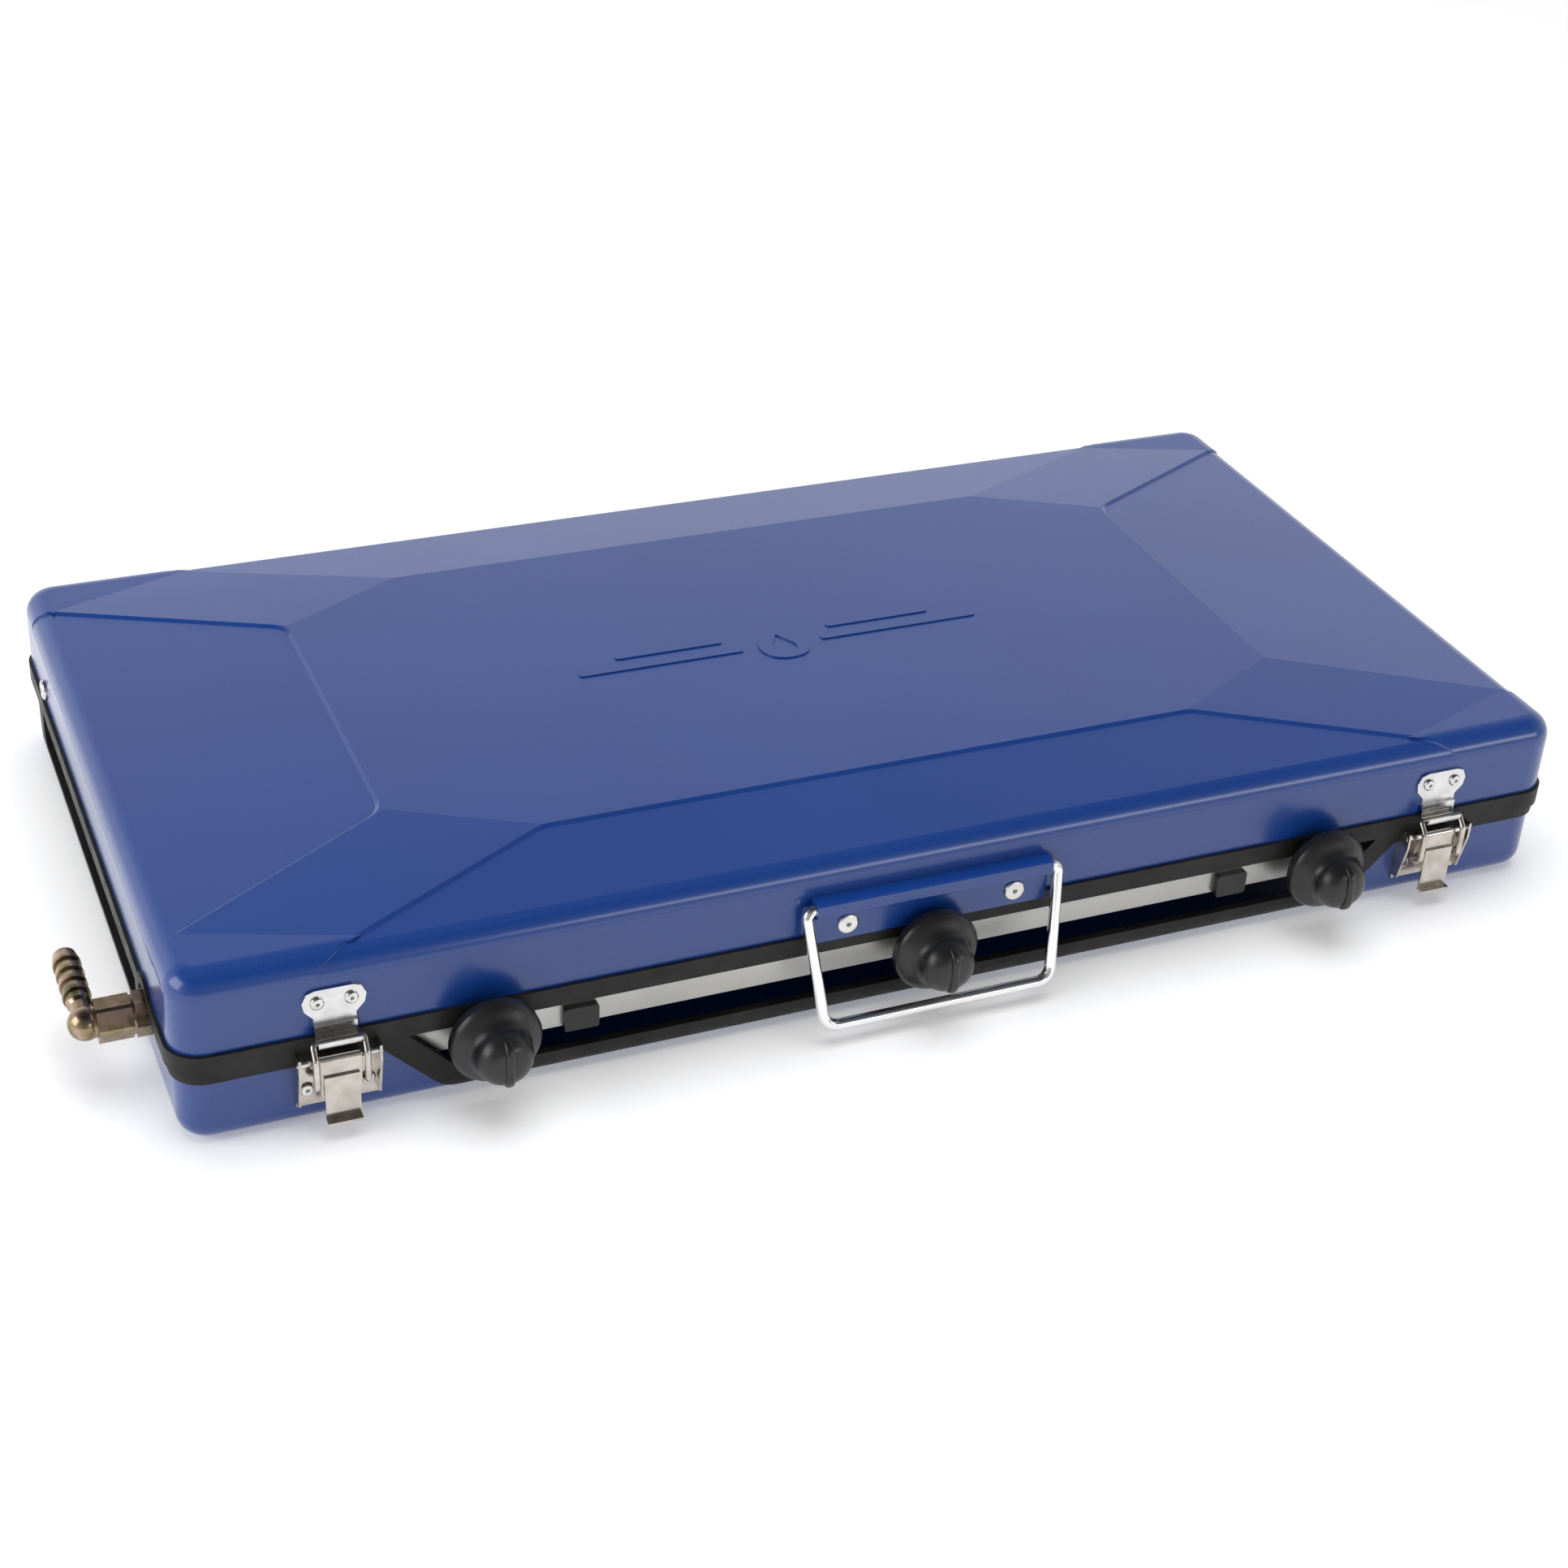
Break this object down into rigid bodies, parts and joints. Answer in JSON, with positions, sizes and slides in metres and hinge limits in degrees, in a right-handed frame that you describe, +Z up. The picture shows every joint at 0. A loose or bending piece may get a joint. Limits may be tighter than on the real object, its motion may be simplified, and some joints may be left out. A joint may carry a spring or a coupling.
{
  "type": "camping stove",
  "caption": "Folding gas camping stove in a shallow blue metal case, closed, with front knobs, toggle latches, a wire handle and a side hose tail.",
  "frame": {"origin": "centre of the base tray's underside, on the surface that the stove stands on", "axes": "+X to the right along the front, +Y to the back, +Z up through the lid"},
  "size_m": [0.5898, 0.3319, 0.0756],
  "materials": {
    "case_paint": "satin gloss enamel",
    "edge_rubber": "matt",
    "hob_steel": "brushed",
    "screw_steel": "bright",
    "clip_black": "matt",
    "rail_steel": "plain",
    "fitting_zinc": "yellow passivated",
    "handle_chrome": "bright",
    "tap_brass": "machined",
    "knob_plastic": "satin",
    "burner_alloy": "cast",
    "cap_enamel": "matt enamel",
    "wire_chrome": "bright",
    "latch_nickel": "nickel plated",
    "strike_zinc": "bright zinc",
    "hinge_steel": "zinc plated"
  },
  "bodies": {
    "base": {"base_shell": "case_paint", "base_trim": "edge_rubber", "burner_body_left": "burner_alloy", "burner_body_middle": "burner_alloy", "burner_body_right": "burner_alloy", "burner_cap_left": "cap_enamel", "burner_cap_middle": "cap_enamel", "burner_cap_right": "cap_enamel", "drip_pans": "hob_steel", "gas_rail": "rail_steel", "heat_shield": "hob_steel", "hinge_base_leaf_left": "hinge_steel", "hinge_base_leaf_right": "hinge_steel", "hinge_pins": "screw_steel", "hob_clips": "clip_black", "hob_plate": "hob_steel", "hob_posts": "hob_steel", "hob_screws": "screw_steel", "hose_tail": "fitting_zinc", "injector_left": "tap_brass", "injector_middle": "tap_brass", "injector_right": "tap_brass", "inlet_connector": "fitting_zinc", "inlet_washer": "fitting_zinc", "latch_base_left": "latch_nickel", "latch_base_right": "latch_nickel", "latch_pins": "screw_steel", "latch_rivets": "screw_steel", "swivel_nut": "fitting_zinc", "trivet_frame_left": "wire_chrome", "trivet_frame_middle": "wire_chrome", "trivet_frame_right": "wire_chrome", "trivet_prongs_left": "wire_chrome", "trivet_prongs_middle": "wire_chrome", "trivet_prongs_right": "wire_chrome", "valve_body_left": "tap_brass", "valve_body_middle": "tap_brass", "valve_body_right": "tap_brass"},
    "lid": {"lid_shell": "case_paint", "lid_trim": "edge_rubber", "handle_bracket": "case_paint", "bracket_rivets": "screw_steel", "side_straps": "hob_steel", "side_rivets": "screw_steel", "strike_rivets": "screw_steel", "strike_plate_left": "strike_zinc", "strike_plate_right": "strike_zinc", "hinge_lid_leaf_left": "hinge_steel", "hinge_lid_leaf_right": "hinge_steel"},
    "handle": {"handle_wire": "handle_chrome"},
    "knob_left": {"knob_left": "knob_plastic", "spindle_left": "tap_brass"},
    "knob_middle": {"knob_middle": "knob_plastic", "spindle_middle": "tap_brass"},
    "knob_right": {"knob_right": "knob_plastic", "spindle_right": "tap_brass"},
    "lever_left": {"latch_lever_left": "latch_nickel"},
    "bail_left": {"latch_bail_left": "latch_nickel"},
    "lever_right": {"latch_lever_right": "latch_nickel"},
    "bail_right": {"latch_bail_right": "latch_nickel"}
  },
  "joints": [
    {"name": "lid_hinge", "type": "hinge", "parent": "base", "child": "lid", "pos_m": [0, 0.153, 0.0314], "axis": [-1, 0, 0], "range_deg": [0, 105]},
    {"name": "handle_swing", "type": "hinge", "parent": "lid", "child": "handle", "pos_m": [0, -0.152, 0.0525], "axis": [-1, 0, 0], "range_deg": [0, 125]},
    {"name": "knob_turn_left", "type": "hinge", "parent": "base", "child": "knob_left", "pos_m": [-0.17, -0.154, 0.028], "axis": [0, 1, 0], "range_deg": [0, 210]},
    {"name": "knob_turn_middle", "type": "hinge", "parent": "base", "child": "knob_middle", "pos_m": [0, -0.154, 0.028], "axis": [0, 1, 0], "range_deg": [0, 210]},
    {"name": "knob_turn_right", "type": "hinge", "parent": "base", "child": "knob_right", "pos_m": [0.17, -0.154, 0.028], "axis": [0, 1, 0], "range_deg": [0, 210]},
    {"name": "lever_swing_left", "type": "hinge", "parent": "base", "child": "lever_left", "pos_m": [-0.2245, -0.153, 0.031], "axis": [-1, 0, 0], "range_deg": [0, 75]},
    {"name": "bail_swing_left", "type": "hinge", "parent": "lever_left", "child": "bail_left", "pos_m": [-0.2245, -0.1524, 0.02], "axis": [-1, 0, 0], "range_deg": [-36.01, 0]},
    {"name": "lever_swing_right", "type": "hinge", "parent": "base", "child": "lever_right", "pos_m": [0.2245, -0.153, 0.031], "axis": [-1, 0, 0], "range_deg": [0, 75]},
    {"name": "bail_swing_right", "type": "hinge", "parent": "lever_right", "child": "bail_right", "pos_m": [0.2245, -0.1524, 0.02], "axis": [-1, 0, 0], "range_deg": [-36.01, 0]}
  ],
  "couplings": [
    {"joint": "bail_swing_left", "follows": "lever_swing_left", "ratio": -0.48},
    {"joint": "bail_swing_right", "follows": "lever_swing_right", "ratio": -0.48}
  ]
}
